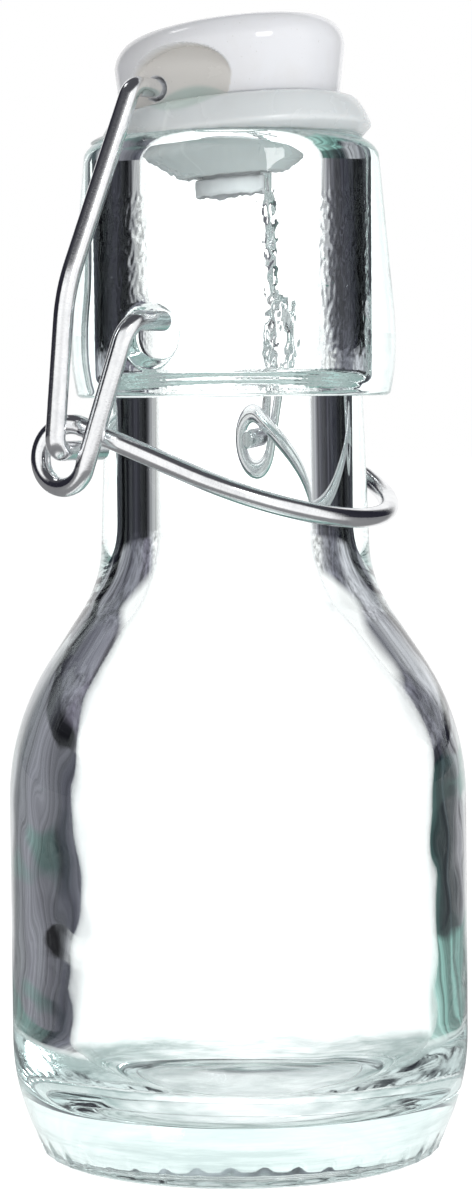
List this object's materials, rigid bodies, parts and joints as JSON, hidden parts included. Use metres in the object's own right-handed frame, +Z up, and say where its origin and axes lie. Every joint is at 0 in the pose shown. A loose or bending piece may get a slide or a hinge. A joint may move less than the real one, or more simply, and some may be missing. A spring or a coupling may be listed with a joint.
{
  "type": "swing-top oil bottle",
  "caption": "Small clear glass bottle for oil, closed by a wire swing stopper with a plastic cap and a soft sealing ring.",
  "frame": {"origin": "centre of the ring that the bottle stands on, on the bottle's axis", "axes": "+Z up along the bottle's axis, X along the closure's hinge axes, -Y towards the lever's handle"},
  "size_m": [0.0552, 0.052, 0.128],
  "materials": {
    "clear_glass": "smooth pressed glass, faint green",
    "zinc_plated_wire": "bright zinc plating with drawing marks",
    "white_plastic": "glossy moulded",
    "clear_silicone": "satin translucent"
  },
  "bodies": {
    "bottle": {"glass_bottle": "clear_glass"},
    "lever": {"lever_wire": "zinc_plated_wire"},
    "bail": {"bail_wire": "zinc_plated_wire"},
    "stopper": {"stopper_cap": "white_plastic", "sealing_ring": "clear_silicone"}
  },
  "joints": [
    {"name": "lever_hinge", "type": "hinge", "parent": "bottle", "child": "lever", "pos_m": [0, -0.0009, 0.0938], "axis": [1, 0, 0], "range_deg": [-120, 0], "deforming": ["sealing_ring"]},
    {"name": "bail_hinge", "type": "hinge", "parent": "lever", "child": "bail", "pos_m": [0, 0.00705, 0.07984], "axis": [1, 0, 0], "range_deg": [0, 82]},
    {"name": "stopper_swivel", "type": "hinge", "parent": "bail", "child": "stopper", "pos_m": [0, 0.0033, 0.11949], "axis": [1, 0, 0], "range_deg": [0, 44]}
  ],
  "couplings": [
    {"joint": "bail_hinge", "follows": "lever_hinge", "ratio": -0.68},
    {"joint": "stopper_swivel", "follows": "lever_hinge", "ratio": -0.36}
  ]
}
